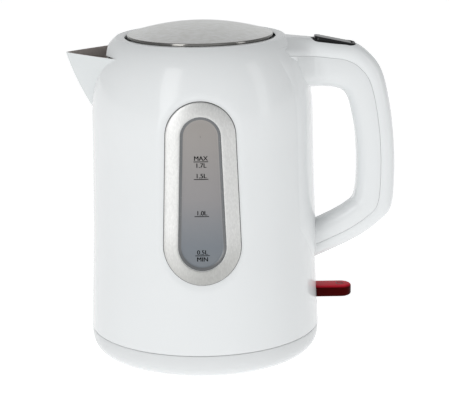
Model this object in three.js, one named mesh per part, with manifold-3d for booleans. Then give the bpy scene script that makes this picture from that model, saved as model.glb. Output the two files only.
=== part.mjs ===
// Cordless electric kettle on its power base. Millimetres, +Z up.
// The origin is on the jug's axis where the feet meet the table; the handle points to +X,
// the spout to -X and the water window to -Y.
import * as THREE from "three";
import { mergeVertices } from "three/addons/utils/BufferGeometryUtils.js";
import Module from "manifold-3d";

const wasm = await Module();
wasm.setup();

// ---------------------------------------------------------------- driving dimensions
const GAP = 0.3; // clearance between neighbouring pieces
const ROUND = 48; // facets around the jug
const SEAM_Z = 20; // joint between the power base and the jug
const WALL = 1; // jug sheet thickness
const NECK_R = 77.55; // wall radius where the shoulder starts
const FLARE = 4.96; // extra wall radius at the seam
const WALL_TOP_Z = 175.1;
const SHOULDER_Z = 164.8; // start of the rounded shoulder
const SHOULDER_IN = 33.1; // how far the shoulder turns in
const SHOULDER_H = 68.7;
const SHOULDER_N = 2.4; // squareness of the shoulder curve
const RIM_R = 52.9; // opening in the top of the jug
const RIM_Z = 229.9;
const FLOOR_Z = 64; // underside of the element plate
const WINDOW = { topZ: 185.6, lowZ: 80, topHalf: 13.7, lowHalf: 16.4 };
const TRIM_WIDTH = 9.9;
const RIM_SPOUT_Z = 218.8; // plane of the pouring lip
const SPOUT_FOOT_Z = 179.9; // where the spout's ridge leaves the wall
const LID_R = 51.3;
const LID_EDGE_Z = 229.3;
const LID_RISE = 7.2;
const HINGE = { x: 56, z: 226 };
const GRIP_HALF = 12; // half the handle's width
const GRIP_WALL = 2.2;
const BUTTON = { x: 93.5, z: 225.6, tilt: THREE.MathUtils.degToRad(12), long: 26.8, wide: 14.4 };
const SWITCH = { x: 62, z: 41.7, tip: 106.8, half: 7.8, thick: 8.2 };
const SWITCH_SLOT = [60, 90, -9, 9, 33.2, 46.8]; // openings as x, y and z limits
const HINGE_NOTCH = [[48, 218], [60.6, 218], [60.6, 226.3], [58.6, 227.9], [57.6, 228.7], [48, 228.7]];
const HINGE_HALF = 14.5; // half the width of the hinge's cheeks
const BOLT_WAY = [60, 72, -5, 5, 219.5, 224.4];
const STEAM = { x: 71.5, bore: 2.2, r: 3.4, hole: 3.8, lowZ: 57, topZ: 190 };
const ELEMENT_R = 76.4;
const SADDLE_EDGE = 0.6; // thickness of the handle's saddle at its edge and at its crown
const SADDLE_CROWN = 1.45;
const COIL_WIRE = 0.35;
const LATCH_Z = 210.9; // axis of the latch's spring

// ---------------------------------------------------------------- materials
const paint = (color, roughness, metalness = 0) => ({ color, roughness, metalness });
const WHITE = paint(0xe9ebec, 0.25);
const STEEL = paint(0xb8b9b4, 0.35, 1);
const DARK_STEEL = paint(0x787470, 0.4, 1);
const BLACK = paint(0x343637, 0.45);
const GREY = paint(0x8f9193, 0.5);
const RUBBER = paint(0x6d6f71, 0.85);
const SILICONE = paint(0xc9cbc8, 0.7);
const BRASS = paint(0xb58f4a, 0.35, 1);
const RED = { ...paint(0xbd3343, 0.15), transparent: true, opacity: 0.85 };
const SMOKE = { ...paint(0x8f9193, 0.2), transparent: true, opacity: 0.6 };

const kettle = new THREE.Group();

function add(name, geometry, look) {
  const mesh = new THREE.Mesh(geometry, new THREE.MeshStandardMaterial(look));
  mesh.name = name;
  kettle.add(mesh);
  return mesh;
}

// ---------------------------------------------------------------- solids
function solid(geometry) {
  const bare = geometry.index ? geometry.toNonIndexed() : geometry.clone();
  bare.deleteAttribute("normal");
  bare.deleteAttribute("uv");
  const merged = mergeVertices(bare, 1e-4);
  return new wasm.Manifold(new wasm.Mesh({
    numProp: 3,
    vertProperties: merged.attributes.position.array,
    triVerts: new Uint32Array(merged.index.array),
  }));
}

function geometryOf(shape) {
  const mesh = shape.getMesh();
  const geometry = new THREE.BufferGeometry();
  geometry.setAttribute("position", new THREE.BufferAttribute(mesh.vertProperties, 3));
  geometry.setIndex(new THREE.BufferAttribute(mesh.triVerts, 1));
  return geometry;
}

// Turns a closed [radius, height] outline about the Z axis.
function turned(profile, facets = ROUND) {
  const points = profile.map(([r, z]) => new THREE.Vector2(r, z));
  if (THREE.ShapeUtils.area(points) < 0) points.reverse();
  const onAxis = points[0].x === 0 && points.at(-1).x === 0;
  if (!onAxis) points.push(points[0].clone());
  return new THREE.LatheGeometry(points, facets).rotateX(Math.PI / 2);
}

function ring(rIn, rOut, zLow, zHigh, facets = 32) {
  return turned([[rIn, zLow], [rOut, zLow], [rOut, zHigh], [rIn, zHigh]], facets);
}

function disc(r, zLow, zHigh, facets = 32) {
  return turned([[0, zLow], [r, zLow], [r, zHigh], [0, zHigh]], facets);
}

function box(x0, x1, y0, y1, z0, z1) {
  return new THREE.BoxGeometry(x1 - x0, y1 - y0, z1 - z0)
    .translate((x0 + x1) / 2, (y0 + y1) / 2, (z0 + z1) / 2);
}

function pinAlongY(r, half, x, z, facets = 16) {
  return new THREE.CylinderGeometry(r, r, 2 * half, facets).translate(x, 0, z);
}

// An XZ outline given thickness along Y, centred on the plane y = 0.
function plateXZ(points, half) {
  const shape = new THREE.Shape(points.map(([x, z]) => new THREE.Vector2(x, z)));
  return new THREE.ExtrudeGeometry(shape, { depth: 2 * half, bevelEnabled: false })
    .rotateX(Math.PI / 2).translate(0, half, 0);
}

function roundedBar(long, wide, r, low, high, corner = 4) {
  const [a, b] = [long / 2, wide / 2];
  const shape = new THREE.Shape();
  shape.moveTo(-a + r, -b);
  shape.lineTo(a - r, -b);
  shape.absarc(a - r, -b + r, r, -Math.PI / 2, 0);
  shape.absarc(a - r, b - r, r, 0, Math.PI / 2);
  shape.absarc(-a + r, b - r, r, Math.PI / 2, Math.PI);
  shape.absarc(-a + r, -b + r, r, Math.PI, 1.5 * Math.PI);
  const options = { depth: high - low, bevelEnabled: false, curveSegments: corner };
  return new THREE.ExtrudeGeometry(shape, options).translate(0, 0, low);
}

// A round wire wound about the Z axis between two heights.
function coil(r, wire, low, high, turns) {
  const steps = turns * 8;
  const path = new THREE.CatmullRomCurve3(Array.from({ length: steps + 1 }, (_, i) => {
    const a = (i / steps) * turns * 2 * Math.PI;
    const z = low + wire + (high - low - 2 * wire) * (i / steps);
    return new THREE.Vector3(r * Math.cos(a), r * Math.sin(a), z);
  }));
  const section = new THREE.Shape();
  section.absarc(0, 0, wire, 0, 2 * Math.PI);
  return new THREE.ExtrudeGeometry(section, { steps, extrudePath: path, curveSegments: 3 });
}

// Joins rings of equal point count into one closed body; each ring is a closed outline in 3-D.
function loft(rings, capShape) {
  const count = rings[0].length;
  const faces = [];
  for (let k = 0; k + 1 < rings.length; k++) {
    for (let i = 0; i < count; i++) {
      const j = (i + 1) % count;
      const [a, b, c, d] = [k * count + i, k * count + j, (k + 1) * count + j, (k + 1) * count + i];
      faces.push(a, b, c, a, c, d);
    }
  }
  const last = (rings.length - 1) * count;
  const anticlockwise = THREE.ShapeUtils.area(capShape) > 0;
  for (const [p, q, r] of THREE.ShapeUtils.triangulateShape(capShape, [])) {
    if (anticlockwise) faces.push(p, r, q, last + p, last + q, last + r);
    else faces.push(p, q, r, last + p, last + r, last + q);
  }
  const geometry = new THREE.BufferGeometry().setFromPoints(rings.flat());
  geometry.setIndex(faces);
  const made = solid(geometry);
  if (made.volume() > 0) return geometry;
  for (let i = 0; i < faces.length; i += 3) [faces[i], faces[i + 1]] = [faces[i + 1], faces[i]];
  geometry.setIndex(faces);
  return geometry;
}

// ---------------------------------------------------------------- the jug's outer form
const wallRadius = (z) => NECK_R + FLARE * Math.max(0, (WALL_TOP_Z - z) / 155.1) ** 1.6;

function jugRadius(z) {
  if (z <= SHOULDER_Z) return wallRadius(z);
  const rise = Math.min(1, (z - SHOULDER_Z) / SHOULDER_H);
  return wallRadius(SHOULDER_Z) - SHOULDER_IN
    + SHOULDER_IN * (1 - rise ** SHOULDER_N) ** (1 / SHOULDER_N);
}

const JUG_ROWS = [60, 100, 140, 164.8, 184, 198, 209, 217, 223, 227.2];

// The jug's form grown outwards by `grow`, between two heights, as [radius, height] rows.
function jugRows(grow, low, high) {
  const rows = JUG_ROWS.filter((z) => z > low + 1 && z < high - 1);
  return [low, ...rows, high].map((z) => [jugRadius(z) + grow, z]);
}

function jugLayer(inner, outer, low, high) {
  return solid(turned([...jugRows(outer, low, high), ...jugRows(inner, low, high).reverse()]));
}

// Everything within `grow` of the closed jug, for trimming the pieces that meet it.
function jugKeepOut(grow) {
  const rows = jugRows(grow, SEAM_Z - 10, 230.2);
  return solid(turned([[0, SEAM_Z - 10], ...rows, [56, 230.2 + grow], [0, 230.2 + grow]]));
}

// ---------------------------------------------------------------- power base
function baseCover() {
  const curve = Array.from({ length: 7 }, (_, i) => {
    const t = (i / 6) * (Math.PI / 2);
    return [65.8 + 16.5 * Math.sin(t) ** (2 / 2.7), 19.2 - 17.6 * Math.cos(t) ** (2 / 2.7)];
  });
  const profile = [
    ...curve, [81.7, 19.7], [71, 19.7], [68.5, 17], [19.6, 17], [19.6, 15], [66.5, 15],
    [69, 17.4], [78, 17.4], [79.6, 15], [77.5, 8], [72, 4.4], [65.8, 3.4],
  ];
  const outlet = solid(box(-4.9, 4.9, 60, 90, 3.2, 12.7));
  return geometryOf(solid(turned(profile)).subtract(outlet));
}

function baseBottomPlate() {
  const profile = [[0, 3], [20, 3], [20, 5.4], [38, 5.4], [38, 1.9], [65.3, 1.9], [65.3, 3.1],
    [40, 3.1], [40, 6.8], [0, 6.8]];
  return turned(profile, 36);
}

function baseSocket() {
  const profile = [[0, 7.2], [22, 7.2], [22, 14.6], [17.5, 14.6], [17.5, 30], [10.4, 30],
    [10.4, 16], [7, 16], [7, 30], [4.2, 30], [4.2, 14], [0, 14]];
  return turned(profile, 32);
}

function cordGland() {
  const body = solid(new THREE.CylinderGeometry(4.5, 4.5, 12, 16).translate(0, 74.5, 7.8));
  const bore = solid(new THREE.CylinderGeometry(3.4, 3.4, 30, 16).translate(0, 74.5, 7.8));
  return geometryOf(body.subtract(bore));
}

function makeBase() {
  add("base_cover", baseCover(), WHITE);
  add("base_bottom_plate", baseBottomPlate(), GREY);
  add("base_socket", baseSocket(), BLACK);
  add("socket_shutter", ring(7.4, 10, 16.3, 18.4, 24), GREY);
  add("cord_gland", cordGland(), BLACK);
  add("base_foot_centre", disc(12, 0, 2.7, 20), RUBBER);
  for (let i = 0; i < 4; i++) {
    const turn = Math.PI / 4 + (i * Math.PI) / 2;
    const foot = disc(6, 0, 1.6, 16);
    add(`base_foot_${i + 1}`, foot.translate(56 * Math.cos(turn), 56 * Math.sin(turn), 0), RUBBER);
  }
  const lugs = ["live", "neutral", "earth"];
  lugs.forEach((name, i) => {
    const blade = box(26, 40, -3, 3, 8, 8.8).rotateZ((i * 2 * Math.PI) / 3);
    add(`${name}_contact`, blade, BRASS);
  });
}

// ---------------------------------------------------------------- jug shell, window and spout
// The window's outline grown by `grow`: two round ends joined by slightly tapered sides.
function windowShape(grow) {
  const { topZ, lowZ, topHalf, lowHalf } = WINDOW;
  const [top, low] = [topHalf + grow, lowHalf + grow];
  const shape = new THREE.Shape();
  shape.absarc(0, topZ - topHalf, top, 0, Math.PI);
  shape.absarc(0, lowZ + lowHalf, low, Math.PI, 2 * Math.PI);
  return shape;
}

function windowPlug(grow) {
  const options = { depth: 40, bevelEnabled: false, curveSegments: 8 };
  return solid(new THREE.ExtrudeGeometry(windowShape(grow), options).rotateX(Math.PI / 2)
    .translate(0, -60, 0));
}

// The spout's plan at one height: a ridge at the front and sides that open like a V.
function spoutRing(z, inset) {
  const t = (z - SPOUT_FOOT_Z) / (218.4 - SPOUT_FOOT_Z);
  const ridge = -77.4 - 23 * t + 5.9 * t * t + inset * 1.3;
  const points = [];
  for (let i = -8; i <= 8; i++) {
    const depth = 38 * Math.abs(i / 8) ** 1.6;
    const half = 35.5 * (depth / 35.5) ** 0.9;
    points.push(new THREE.Vector3(ridge + depth, Math.sign(i) * half, z));
  }
  return points;
}

function spoutForm(inset, low, high) {
  const rings = [0, 0.25, 0.5, 0.75, 1].map((s) => spoutRing(low + (high - low) * s, inset));
  return solid(loft(rings, rings[0].map((p) => new THREE.Vector2(p.x, p.y))));
}

// The pouring mouth: the spout's channel carried through the wall, arched at its top.
function mouthCutter() {
  const arch = new THREE.Shape();
  arch.moveTo(-19, 212);
  arch.lineTo(19, 212);
  arch.lineTo(19, 219.5);
  arch.quadraticCurveTo(0, 229, -19, 219.5);
  const options = { depth: 50, bevelEnabled: false, curveSegments: 8 };
  const block = new THREE.ExtrudeGeometry(arch, options);
  block.applyMatrix4(new THREE.Matrix4().makeBasis(
    new THREE.Vector3(0, 1, 0), new THREE.Vector3(0, 0, 1), new THREE.Vector3(1, 0, 0)));
  return solid(block.translate(-100, 0, 0)).add(spoutForm(WALL, 184, 219));
}

function jugShell() {
  const outer = jugRows(0, SEAM_Z + 0.4, 230.2);
  const inner = jugRows(-WALL, SEAM_Z + 0.4, 229.2).reverse();
  const lip = [[RIM_R + 0.6, RIM_Z], [RIM_R, RIM_Z - 0.8], [RIM_R, 224], [RIM_R + 0.9, 224],
    [RIM_R + 0.9, 228.6]];
  let shell = solid(turned([...outer, ...lip, ...inner]));
  shell = shell.subtract(windowPlug(0)).subtract(mouthCutter());
  shell = shell.subtract(solid(box(...SWITCH_SLOT))).subtract(solid(box(...BOLT_WAY)));
  return geometryOf(shell.subtract(solid(plateXZ(HINGE_NOTCH, HINGE_HALF + GAP))));
}

function spoutShell() {
  const form = spoutForm(0, 176, RIM_SPOUT_Z);
  const channel = spoutForm(WALL, 174.8, RIM_SPOUT_Z + 4);
  return geometryOf(form.subtract(channel).subtract(jugKeepOut(GAP)));
}

function makeJugShell() {
  add("jug_shell", jugShell(), WHITE);
  add("spout", spoutShell(), WHITE);
  const trimHole = windowPlug(0.2);
  add("window_trim", geometryOf(jugLayer(GAP, 1.3, 62, 204).intersect(windowPlug(TRIM_WIDTH))
    .subtract(trimHole)), STEEL);
  add("window_pane", geometryOf(jugLayer(-4.2, -WALL - GAP, 70, 197)
    .intersect(windowPlug(2.4))), SMOKE);
  add("window_gasket", geometryOf(jugLayer(-3.4, -WALL - GAP, 68, 198)
    .intersect(windowPlug(5.5)).subtract(windowPlug(2.7))), SILICONE);
}

// ---------------------------------------------------------------- water floor and controller
function makeElement() {
  const steamHole = solid(disc(STEAM.hole, FLOOR_Z - 10, FLOOR_Z + 10, 16).translate(STEAM.x, 0, 0));
  add("element_plate", geometryOf(solid(disc(ELEMENT_R, FLOOR_Z, FLOOR_Z + 1, 48))
    .subtract(steamHole)), STEEL);
  add("element_seal", ring(ELEMENT_R + GAP, 79, 62.5, 66.5, 40), SILICONE);
  add("heat_spreader", disc(45, FLOOR_Z - 2.8, FLOOR_Z - GAP, 36), STEEL);
  const arc = new THREE.CatmullRomCurve3(Array.from({ length: 19 }, (_, i) => {
    const turn = 0.5 + (i / 18) * (2 * Math.PI - 1);
    return new THREE.Vector3(34 * Math.cos(turn), 34 * Math.sin(turn), 57.2);
  }));
  const section = new THREE.Shape();
  section.absarc(0, 0, 3.6, 0, 2 * Math.PI);
  const sheath = { steps: 24, extrudePath: arc, curveSegments: 5 };
  add("heating_element", new THREE.ExtrudeGeometry(section, sheath), DARK_STEEL);
  add("controller", box(-20, 20, -20, 20, 45, 53), BLACK);
  add("dry_boil_disc", disc(11, 55.2, 56, 20), BRASS);
  add("steam_disc", disc(9, 52.2, 53, 20).translate(58, 0, 0), BRASS);
  const tube = ring(STEAM.bore, STEAM.r, STEAM.lowZ, STEAM.topZ, 12);
  add("steam_tube", tube.translate(STEAM.x, 0, 0), GREY);
  const socket = [[0, 17], [3.2, 17], [3.2, 31], [7.9, 31], [7.9, 19.5], [9.3, 19.5],
    [9.3, 31], [18.2, 31], [18.2, 21.4], [23.5, 21.4], [23.5, 44.6], [0, 44.6]];
  add("jug_connector", turned(socket, 28), BLACK);
  add("indicator_lamp", new THREE.CylinderGeometry(2.2, 2.2, 9, 12).rotateZ(Math.PI / 2)
    .translate(47, 12, 41.7), RED);
}

function bottomCover() {
  const profile = [[24, 20.8], [80.4, 20.8], [80.4, 26], [78.4, 26], [78.4, 23.2], [24, 23.2]];
  return turned(profile, 40);
}

function screw(name, x, y, z, axis = new THREE.Vector3(0, 0, -1)) {
  const profile = [[0, 0], [3, 0], [3, 1.8], [1.4, 2.4], [1.4, 10], [0, 10.6]];
  const geometry = turned(profile, 8);
  const turn = new THREE.Quaternion().setFromUnitVectors(new THREE.Vector3(0, 0, -1), axis);
  geometry.applyQuaternion(turn).translate(x, y, z);
  add(name, geometry, STEEL);
}

function makeBottom() {
  add("bottom_cover", bottomCover(), WHITE);
  for (let i = 0; i < 3; i++) {
    const turn = Math.PI / 2 + (i * 2 * Math.PI) / 3;
    screw(`bottom_screw_${i + 1}`, 52 * Math.cos(turn), 52 * Math.sin(turn), 23.5);
  }
}

// ---------------------------------------------------------------- handle
const curve = (points) => new THREE.SplineCurve(points.map(([x, z]) => new THREE.Vector2(x, z)));
const OUTSIDE = curve([[56, 228.4], [77, 226.8], [93, 224.9], [107.5, 222.6], [118.2, 215.8],
  [127.4, 203.6], [133.2, 181], [136.6, 152], [137.1, 125], [134.9, 104], [126.5, 93.7],
  [112, 83], [92, 73], [70, 63.6]]);
const INSIDE = curve([[56, 192.9], [77, 192.7], [86, 192.5], [93.5, 191.6], [100, 189.2],
  [103.9, 183.2], [106.8, 172], [109.4, 155], [110.1, 130], [108.1, 112.4], [102.6, 106.2],
  [95, 101.5], [86, 97], [70, 89.7]]);
const HANDLE_STEPS = 20;

// One section of the handle at s = 0..1 along it: its inner corner, its depth and its direction.
function station(s) {
  const inner = INSIDE.getPoint(s);
  const across = OUTSIDE.getPoint(s).sub(inner);
  const depth = across.length();
  return { inner, depth, out: across.normalize(), seam: depth * (0.66 - 0.07 * s) };
}

function placed({ inner, out }, points) {
  return points.map(([u, y]) =>
    new THREE.Vector3(inner.x + out.x * u, y, inner.y + out.y * u));
}

// Half of a channel section from its open edge to its middle, as [depth, half width].
function cornerPoints(edge, far, half, radius, steps) {
  const sign = Math.sign(far - edge);
  const arc = Array.from({ length: steps + 1 }, (_, i) => {
    const turn = (i / steps) * (Math.PI / 2);
    return [far - sign * radius * (1 - Math.sin(turn)), half - radius * (1 - Math.cos(turn))];
  });
  return [[edge, half], ...arc];
}

function channelSection(edge, far, half, radius, steps) {
  const sign = Math.sign(far - edge);
  const outer = cornerPoints(edge, far, half, radius, steps);
  const inner = cornerPoints(edge, far - sign * GRIP_WALL, half - GRIP_WALL,
    radius - GRIP_WALL + 0.4, steps);
  const flip = (points) => points.map(([u, y]) => [u, -y]);
  return [...outer, ...flip(outer).reverse(), ...flip(inner), ...inner.slice().reverse()];
}

function handleSweep(sectionAt) {
  const stations = Array.from({ length: HANDLE_STEPS + 1 }, (_, i) => station(i / HANDLE_STEPS));
  const sections = stations.map(sectionAt);
  const rings = stations.map((st, i) => placed(st, sections[i]));
  return solid(loft(rings, sections[0].map(([u, y]) => new THREE.Vector2(u, y))));
}

// The saddle: a shallow raised patch of the wall that carries both ends of the grip.
function saddle() {
  const rows = [67, 82, 100, 135, 164, 184, 200, 214, 224];
  const spread = (z) => THREE.MathUtils.degToRad(8 + 24 * Math.min(1, (z - 64) / 34)
    + 10 * Math.max(0, (z - 196) / 28));
  const rings = rows.map((z) => {
    const at = (turn, grow) => {
      const r = jugRadius(z) + grow;
      return new THREE.Vector3(r * Math.cos(turn), r * Math.sin(turn), z);
    };
    const across = Array.from({ length: 9 }, (_, i) => -1 + i / 4);
    const swell = SADDLE_CROWN - SADDLE_EDGE;
    const top = across.map((a) => at(a * spread(z), GAP + SADDLE_EDGE + swell * (1 - a * a)));
    const under = across.map((a) => at(a * spread(z), -2)).reverse();
    return [...top, ...under];
  });
  const flat = rings[3].map((p) => new THREE.Vector2(p.x, p.y));
  return solid(loft(rings, flat));
}

// The opening in the cover's top that the button and its bezel stand in.
function buttonWell(grow, low, high) {
  const long = BUTTON.long + 5 + 2 * grow;
  const bar = roundedBar(long, BUTTON.wide + 3 + 2 * grow, 5, low, high);
  return bar.rotateY(BUTTON.tilt * 0.55).translate(BUTTON.x, 0, BUTTON.z - 1.8);
}

function makeHandle() {
  const keepOut = jugKeepOut(GAP);
  const grip = handleSweep(({ seam }) => channelSection(seam - GAP, 0, GRIP_HALF, 7.5, 3));
  const cover = handleSweep(({ seam, depth }) => channelSection(seam, depth, GRIP_HALF, 8.5, 4));
  const boltWay = solid(box(60, 84, -5.4, 5.4, 209.6, 224.6));
  const body = grip.add(saddle()).subtract(keepOut).subtract(boltWay);
  add("handle_body", geometryOf(body), WHITE);
  const coverKeepOut = jugKeepOut(GAP + SADDLE_CROWN + GAP);
  add("handle_cover", geometryOf(cover.subtract(coverKeepOut)
    .subtract(solid(buttonWell(0, -14, 12)))), WHITE);
}

// ---------------------------------------------------------------- button and latch
function makeButton() {
  const { x, z, tilt, long, wide } = BUTTON;
  const cap = solid(roundedBar(long, wide, 4, -6.5, 0).rotateY(tilt).translate(x, 0, z));
  const ramp = [[87, 226], [87, 210.4], [87.6, 210.4], [91.6, 213.6], [91.6, 226]];
  const leg = solid(plateXZ(ramp, 2.2));
  add("release_button", geometryOf(cap.add(leg)), BLACK);
  const flange = solid(buttonWell(-GAP, -4.6, 0.6));
  const bore = solid(roundedBar(long + 1, wide + 1, 4.5, -30, 12).rotateY(tilt).translate(x, 0, z));
  add("button_bezel", geometryOf(flange.subtract(bore)), BLACK);
  const bolt = solid(plateXZ([[62.3, 220.6], [69.6, 220.6], [72.6, 213.4], [72.6, 211], [94.4, 211],
    [94.4, 213.2], [75, 213.2], [75, 214.5], [72.2, 220], [72.2, 223.4], [62.3, 223.4]], 4));
  add("latch_bolt", geometryOf(bolt.subtract(solid(box(80.5, 92.4, -2.6, 2.6, 208, 216)))), STEEL);
  add("latch_spring", coil(1.9, COIL_WIRE, 0, 6.7, 3).rotateY(Math.PI / 2)
    .translate(99.3, 0, LATCH_Z), STEEL);
  add("button_spring", coil(2.6, COIL_WIRE, 204.6, 210.1, 3).translate(87.3, 0, 0), STEEL);
  add("button_carrier", box(78, 101, -9, 9, 202.2, 204.2), GREY);
}

// ---------------------------------------------------------------- lid
function lidCap() {
  const round = (r0, z0, drop) => Array.from({ length: 6 }, (_, i) => {
    const r = r0 * (1 - i / 5);
    return [r, z0 + LID_RISE * (1 - (r / r0) ** 2) - drop];
  });
  const edge = LID_EDGE_Z + 2.3;
  const over = round(LID_R - 0.7, edge, 0);
  const under = round(LID_R - 1.2, edge, 1).reverse();
  return turned([[LID_R, LID_EDGE_Z], [LID_R, edge - 0.7], ...over, ...under,
    [LID_R - 1.2, LID_EDGE_Z]], 44);
}

function lidBody() {
  const profile = [[0, 216], [45.4, 216], [45.4, 229.3], [49.8, 229.3], [49.8, 230.3],
    [43.4, 230.3], [43.4, 218], [0, 218]];
  const arm = [[43.8, 228.6], [43.8, 218.8], [56, 218.8], [58.4, 221.4], [60.3, 222.6],
    [60.3, 225.2], [58.5, 226], [57.6, 227.8], [56, 228.4], [54, 227.6], [53.4, 226],
    [53.6, 223], [52.4, 221.8], [47.6, 221.8], [47.6, 228.6]];
  const bore = solid(pinAlongY(1.6, 30, HINGE.x, HINGE.z));
  return geometryOf(solid(turned(profile, 48)).add(solid(plateXZ(arm, 9)))
    .subtract(bore));
}

function lidCollar() {
  const cheek = [[48.5, 208.5], [51, 208.5], [59.4, 222], [59.4, 226], [58, 228], [54, 228],
    [48.5, 221]];
  const way = solid(box(40, 62, -10.5, 10.5, 215, 232));
  const cheeks = solid(plateXZ(cheek, HINGE_HALF));
  const bore = solid(pinAlongY(1.6, 30, HINGE.x, HINGE.z));
  return geometryOf(solid(ring(47.6, 51.8, 208, 223.6, 48)).add(cheeks)
    .subtract(way).subtract(bore));
}

function makeLid() {
  add("lid_cap", lidCap(), STEEL);
  add("lid_body", lidBody(), GREY);
  add("lid_seal", ring(45.7, 46.7, 216.3, 218.3, 40), SILICONE);
  add("lid_hinge_pin", pinAlongY(1.2, 14.3, HINGE.x, HINGE.z), STEEL);
  add("lid_collar", lidCollar(), WHITE);
}

function makeFilter() {
  const frame = solid(box(-61.5, -59.5, -27, 27, 178, 216)).add(solid(box(-61.5, -52.3, -12, 12,
    213.5, 216)));
  const opening = solid(box(-70, -50, -23, 23, 182, 212.5));
  add("filter_frame", geometryOf(frame.subtract(opening)), GREY);
  const ribs = Array.from({ length: 9 }, (_, i) => -20 + i * 5);
  let mesh = solid(box(-60.8, -60.2, -22.7, 22.7, 182.3, 212.2));
  for (const y of ribs) mesh = mesh.subtract(solid(box(-70, -50, y - 1.8, y + 1.8, 184, 210.5)));
  add("filter_mesh", geometryOf(mesh), STEEL);
}

// ---------------------------------------------------------------- switch
function makeSwitch() {
  const { x, z, tip, half, thick } = SWITCH;
  const plan = new THREE.Shape();
  plan.moveTo(x - 12, -5);
  plan.lineTo(76, -5);
  plan.lineTo(79, -half);
  plan.lineTo(tip - half, -half);
  plan.absarc(tip - half, 0, half, -Math.PI / 2, Math.PI / 2);
  plan.lineTo(79, half);
  plan.lineTo(76, 5);
  plan.lineTo(x - 12, 5);
  const options = { depth: thick, bevelEnabled: false, curveSegments: 12 };
  const lever = solid(new THREE.ExtrudeGeometry(plan, options).translate(0, 0, z - thick / 2));
  const bore = solid(pinAlongY(1.8, 20, x, z));
  add("switch_lever", geometryOf(lever.subtract(bore)), RED);
  add("switch_pin", pinAlongY(1.4, 9, x, z), STEEL);
}

makeBase();
makeJugShell();
makeElement();
makeBottom();
makeHandle();
makeButton();
makeLid();
makeFilter();
makeSwitch();

export default kettle;
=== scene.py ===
"""An electric kettle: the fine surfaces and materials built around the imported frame."""
import math

import bmesh
import bpy
from mathutils import Matrix, Vector


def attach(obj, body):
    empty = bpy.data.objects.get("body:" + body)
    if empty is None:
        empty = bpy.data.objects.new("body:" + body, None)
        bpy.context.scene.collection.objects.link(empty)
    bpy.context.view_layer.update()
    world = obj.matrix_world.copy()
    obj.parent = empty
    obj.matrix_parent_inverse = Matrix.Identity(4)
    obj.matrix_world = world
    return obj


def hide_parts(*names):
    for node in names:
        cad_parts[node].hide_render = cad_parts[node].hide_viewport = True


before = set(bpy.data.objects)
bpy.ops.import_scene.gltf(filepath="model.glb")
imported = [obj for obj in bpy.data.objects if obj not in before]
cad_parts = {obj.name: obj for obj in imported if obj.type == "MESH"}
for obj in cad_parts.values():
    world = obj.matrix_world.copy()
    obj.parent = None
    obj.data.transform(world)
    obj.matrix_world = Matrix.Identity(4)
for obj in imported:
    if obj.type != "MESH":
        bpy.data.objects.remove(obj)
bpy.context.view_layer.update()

MM = 0.001

# ------------------------------------------------------------------ the jug's form, in millimetres
SEAM_Z = 20.0
NECK_R, FLARE, WALL_TOP_Z = 77.55, 4.96, 175.1
SHOULDER_Z, SHOULDER_IN, SHOULDER_H, SHOULDER_N = 164.8, 33.1, 68.7, 2.4
RIM_R, RIM_Z = 52.9, 229.9
WALL = 1.0
WINDOW_TOP_Z, WINDOW_LOW_Z, WINDOW_TOP_HALF, WINDOW_LOW_HALF = 185.6, 80.0, 13.7, 16.4
TRIM_WIDTH = 9.9
SPOUT_FOOT_Z, SPOUT_RIM_Z = 179.9, 218.8
SPOUT_FORM_TOP_Z, SPOUT_RIDGE_X, SPOUT_RUN, SPOUT_BOW = 218.4, -77.4, 23, 5.9
SPOUT_DEPTH, SPOUT_HALF = 38, 35.5
PANE_LAYER = -1.66       # where the pane's face lies from the wall: minus is inside
LID_R, LID_EDGE_Z, LID_RISE, LID_LIP = 51.3, 228.6, 7.9, 2.3
GRIP_HALF = 12.0
HOOD_REACH = 16.0        # how far from the wall the handle starts to widen
BUTTON_X, BUTTON_Z, BUTTON_TILT, BUTTON_LONG, BUTTON_WIDE = 93.5, 225.6, math.radians(12), 26.8, 14.4
SWITCH_Z, SWITCH_TIP, SWITCH_HALF, SWITCH_THICK = 41.7, 106.8, 7.8, 8.2


def smooth(a, b, x):
    """0 up to a, 1 from b, and an even S-curve between them."""
    t = min(1.0, max(0.0, (x - a) / (b - a)))
    return t * t * (3 - 2 * t)


def wall_radius(z):
    """The wall's radius at a height: straight at the neck, flaring towards the seam."""
    return NECK_R + FLARE * max(0.0, (WALL_TOP_Z - z) / (WALL_TOP_Z - SEAM_Z)) ** 1.6


def jug_radius(z):
    """The jug's outer radius at a height: the wall, then a superelliptic shoulder up to the rim."""
    if z <= SHOULDER_Z:
        return wall_radius(z)
    rise = min(1.0, (z - SHOULDER_Z) / SHOULDER_H)
    return wall_radius(SHOULDER_Z) - SHOULDER_IN + SHOULDER_IN * (1 - rise**SHOULDER_N) ** (1 / SHOULDER_N)


# ------------------------------------------------------------------ mesh helpers
def new_object(name, points, faces, materials, face_slots=None, sharp_deg=35):
    """A mesh object from points in millimetres, shaded smooth with sharp edges kept."""
    mesh = bpy.data.meshes.new(name)
    mesh.from_pydata([(x * MM, y * MM, z * MM) for x, y, z in points], [], faces)
    for material in materials:
        mesh.materials.append(material)
    if face_slots:
        for polygon, slot in zip(mesh.polygons, face_slots):
            polygon.material_index = slot
    piece = bpy.data.objects.new(name, mesh)
    bpy.context.scene.collection.objects.link(piece)
    clean(piece, sharp_deg)
    return piece


def clean(piece, sharp_deg=35):
    """Merges doubled points, turns every face outwards and marks the sharp edges."""
    work = bmesh.new()
    work.from_mesh(piece.data)
    bmesh.ops.remove_doubles(work, verts=work.verts, dist=1e-6)
    bmesh.ops.dissolve_degenerate(work, edges=work.edges, dist=1e-6)
    bmesh.ops.recalc_face_normals(work, faces=work.faces)
    limit = math.radians(sharp_deg)
    for face in work.faces:
        face.smooth = True
    for edge in work.edges:
        edge.smooth = len(edge.link_faces) == 2 and edge.calc_face_angle(0.0) < limit
    work.to_mesh(piece.data)
    work.free()
    piece.data.update()


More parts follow.
